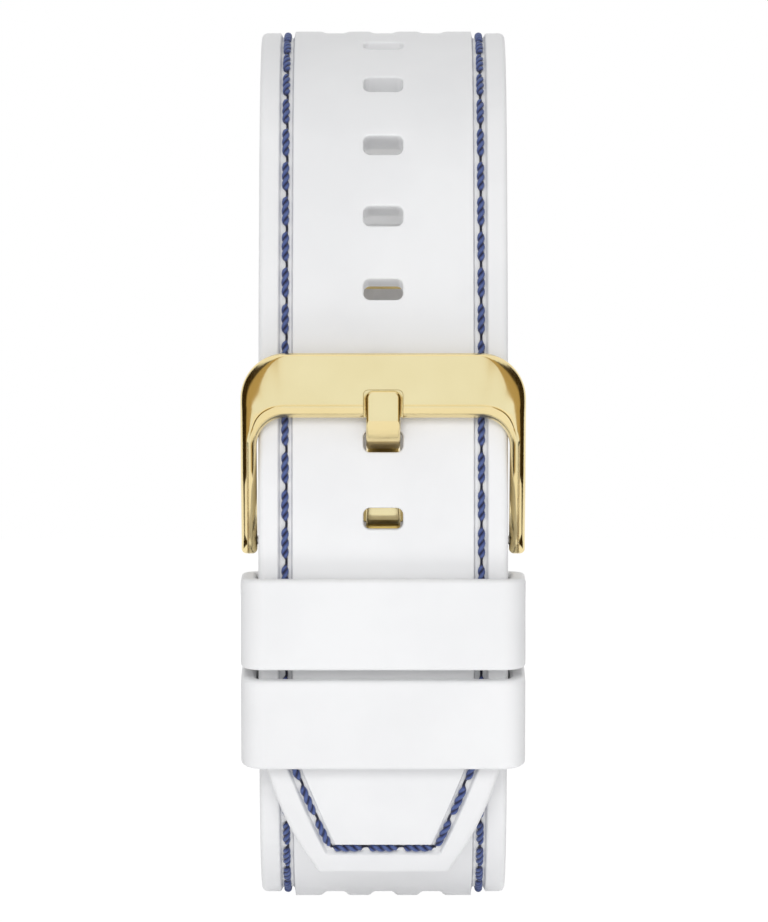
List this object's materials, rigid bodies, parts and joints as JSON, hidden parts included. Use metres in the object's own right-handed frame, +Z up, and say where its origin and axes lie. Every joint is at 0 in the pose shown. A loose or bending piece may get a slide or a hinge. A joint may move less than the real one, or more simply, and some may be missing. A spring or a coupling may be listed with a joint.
{
  "type": "golf gps watch",
  "caption": "Slim band-style golf GPS watch on a buckled white silicone strap, with a gold-tone pin buckle, keepers and side buttons.",
  "frame": {"origin": "middle of the wrist opening", "axes": "+X across the strap to the right as the buckle is seen, +Y from the buckle to the dial, +Z up along the forearm's width"},
  "size_m": [0.0252, 0.0671, 0.0791],
  "materials": {
    "silicone_white": "white silicone, soft satin",
    "thread_blue": "twisted blue thread",
    "gold_polished": "polished pale gold tone",
    "crystal_glass": "clear crystal",
    "display_dark": "dark display",
    "seal_black": "black seal",
    "board_green": "circuit board",
    "antenna_ceramic": "ceramic patch",
    "battery_grey": "foil pouch",
    "contact_gold": "gold plated",
    "steel": "satin steel"
  },
  "bodies": {
    "watch": {"tail_strap": "silicone_white", "tail_stitching": "thread_blue", "buckle_strap": "silicone_white", "buckle_stitching": "thread_blue", "tail_bar_tube": "steel", "tail_bar_spring": "steel", "strap_bar_tube": "steel", "strap_bar_spring": "steel", "case_body": "gold_polished", "bezel": "gold_polished", "crystal": "crystal_glass", "crystal_gasket": "seal_black", "display_panel": "display_dark", "display_bracket": "steel", "main_board": "board_green", "gps_antenna": "antenna_ceramic", "battery": "battery_grey", "vibration_motor": "steel", "back_cover": "steel", "back_gasket": "seal_black", "back_screws": "steel", "charge_contacts": "contact_gold", "button_seals": "seal_black", "button_spring_upper_left": "steel", "button_spring_upper_right": "steel", "button_spring_lower_left": "steel", "button_spring_lower_right": "steel"},
    "buckle_frame_body": {"buckle_frame": "gold_polished", "buckle_bar_tube": "steel", "buckle_bar_spring": "steel"},
    "buckle_tongue_body": {"buckle_tongue": "gold_polished"},
    "keeper_upper_body": {"keeper_upper": "silicone_white"},
    "keeper_lower_body": {"keeper_lower": "silicone_white"},
    "buckle_bar_tip_left_body": {"buckle_bar_tip_left": "steel"},
    "buckle_bar_tip_right_body": {"buckle_bar_tip_right": "steel"},
    "tail_bar_tip_left_body": {"tail_bar_tip_left": "steel"},
    "tail_bar_tip_right_body": {"tail_bar_tip_right": "steel"},
    "strap_bar_tip_left_body": {"strap_bar_tip_left": "steel"},
    "strap_bar_tip_right_body": {"strap_bar_tip_right": "steel"},
    "button_upper_left_body": {"button_upper_left": "gold_polished"},
    "button_upper_right_body": {"button_upper_right": "gold_polished"},
    "button_lower_left_body": {"button_lower_left": "gold_polished"},
    "button_lower_right_body": {"button_lower_right": "gold_polished"}
  },
  "joints": [
    {"name": "frame_hinge", "type": "hinge", "parent": "watch", "child": "buckle_frame_body", "pos_m": [0, -0.02504, -0.007], "axis": [1, 0, 0], "range_deg": [0, 1.2]},
    {"name": "tongue_hinge", "type": "hinge", "parent": "buckle_frame_body", "child": "buckle_tongue_body", "pos_m": [0, -0.02504, -0.007], "axis": [1, 0, 0], "range_deg": [0, 1]},
    {"name": "keeper_upper_slide", "type": "hinge", "parent": "watch", "child": "keeper_upper_body", "pos_m": [0, 0.0553, -0.004], "axis": [1, 0, 0], "range_deg": [-0.7, 0]},
    {"name": "keeper_lower_slide", "type": "hinge", "parent": "watch", "child": "keeper_lower_body", "pos_m": [0, 0.0553, -0.004], "axis": [1, 0, 0], "range_deg": [0, 2]},
    {"name": "buckle_bar_tip_left_slide", "type": "slide", "parent": "buckle_frame_body", "child": "buckle_bar_tip_left_body", "axis": [1, 0, 0], "range_m": [0, 0.0008], "stiffness_N_per_m": 200, "deforming": ["buckle_bar_spring"]},
    {"name": "buckle_bar_tip_right_slide", "type": "slide", "parent": "buckle_frame_body", "child": "buckle_bar_tip_right_body", "axis": [-1, 0, 0], "range_m": [0, 0.0008], "stiffness_N_per_m": 200, "deforming": ["buckle_bar_spring"]},
    {"name": "tail_bar_tip_left_slide", "type": "slide", "parent": "watch", "child": "tail_bar_tip_left_body", "axis": [1, 0, 0], "range_m": [0, 0.0008], "stiffness_N_per_m": 200, "deforming": ["tail_bar_spring"]},
    {"name": "tail_bar_tip_right_slide", "type": "slide", "parent": "watch", "child": "tail_bar_tip_right_body", "axis": [-1, 0, 0], "range_m": [0, 0.0008], "stiffness_N_per_m": 200, "deforming": ["tail_bar_spring"]},
    {"name": "strap_bar_tip_left_slide", "type": "slide", "parent": "watch", "child": "strap_bar_tip_left_body", "axis": [1, 0, 0], "range_m": [0, 0.0008], "stiffness_N_per_m": 200, "deforming": ["strap_bar_spring"]},
    {"name": "strap_bar_tip_right_slide", "type": "slide", "parent": "watch", "child": "strap_bar_tip_right_body", "axis": [-1, 0, 0], "range_m": [0, 0.0008], "stiffness_N_per_m": 200, "deforming": ["strap_bar_spring"]},
    {"name": "button_upper_left_push", "type": "slide", "parent": "watch", "child": "button_upper_left_body", "axis": [1, 0, 0], "range_m": [0, 0.0005], "stiffness_N_per_m": 600, "deforming": ["button_spring_upper_left"]},
    {"name": "button_upper_right_push", "type": "slide", "parent": "watch", "child": "button_upper_right_body", "axis": [-1, 0, 0], "range_m": [0, 0.0005], "stiffness_N_per_m": 600, "deforming": ["button_spring_upper_right"]},
    {"name": "button_lower_left_push", "type": "slide", "parent": "watch", "child": "button_lower_left_body", "axis": [1, 0, 0], "range_m": [0, 0.0005], "stiffness_N_per_m": 600, "deforming": ["button_spring_lower_left"]},
    {"name": "button_lower_right_push", "type": "slide", "parent": "watch", "child": "button_lower_right_body", "axis": [-1, 0, 0], "range_m": [0, 0.0005], "stiffness_N_per_m": 600, "deforming": ["button_spring_lower_right"]}
  ]
}
